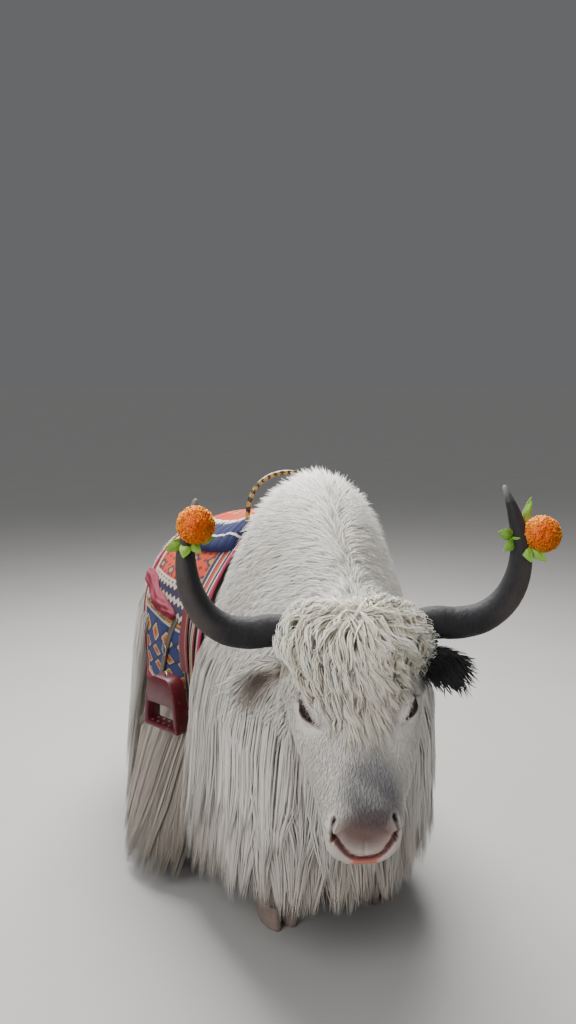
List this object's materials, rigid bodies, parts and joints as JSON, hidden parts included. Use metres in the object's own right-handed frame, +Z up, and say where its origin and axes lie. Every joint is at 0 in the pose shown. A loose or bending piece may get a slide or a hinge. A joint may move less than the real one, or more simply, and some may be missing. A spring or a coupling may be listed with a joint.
{
  "type": "yak",
  "caption": "White domestic yak standing with lowered head, long skirt of hair, upswept dark horns with orange flowers, woven rug, riding pad and stirrups",
  "frame": {"origin": "On the floor, under the middle of the box around the yak", "axes": "+Z up, the yak faces -Y, its own left side is +X"},
  "size_m": [1.0842, 2.1968, 1.3902],
  "materials": {
    "coat": "soft white yak hair, cream where the light falls on it",
    "black_hair": "black hair",
    "horn": "dark horn, dull, grey-white at the tips",
    "eye": "wet dark brown",
    "hoof": "pinkish grey hoof horn",
    "rug": "woven wool rug, orange-red field with navy, white and ochre pattern",
    "pad": "padded dark crimson seat",
    "hoop": "lacquer in black and gold bands",
    "sash": "pink cotton sash",
    "stirrup": "crimson paint",
    "fender": "maroon leather",
    "girth": "striped girth webbing",
    "strap": "worn grey-brown leather",
    "petals": "orange cloth petals",
    "leaves": "bright green cloth leaves"
  },
  "bodies": {
    "root": {"head": "coat", "neck": "coat", "tail": "coat", "saddle_rug": "rug", "saddle_pad": "pad", "saddle_hoop": "hoop", "sash": "sash", "horn_left": "horn", "eye_left": "eye", "ear_left": "black_hair", "leaves_left": "leaves", "flower_left": "petals", "stirrup_left": "stirrup", "fender_left": "fender", "girth_left": "girth", "strap_left": "strap", "torso_front_left": "coat", "torso_rear_left": "coat", "leg_front_left": "coat", "hoof_front_left": "hoof", "leg_hind_left": "coat", "hoof_hind_left": "hoof", "horn_right": "horn", "eye_right": "eye", "ear_right": "coat", "leaves_right": "leaves", "flower_right": "petals", "stirrup_right": "stirrup", "fender_right": "fender", "girth_right": "girth", "strap_right": "strap", "torso_front_right": "coat", "torso_rear_right": "coat", "leg_front_right": "coat", "hoof_front_right": "hoof", "leg_hind_right": "coat", "hoof_hind_right": "hoof"}
  },
  "joints": []
}
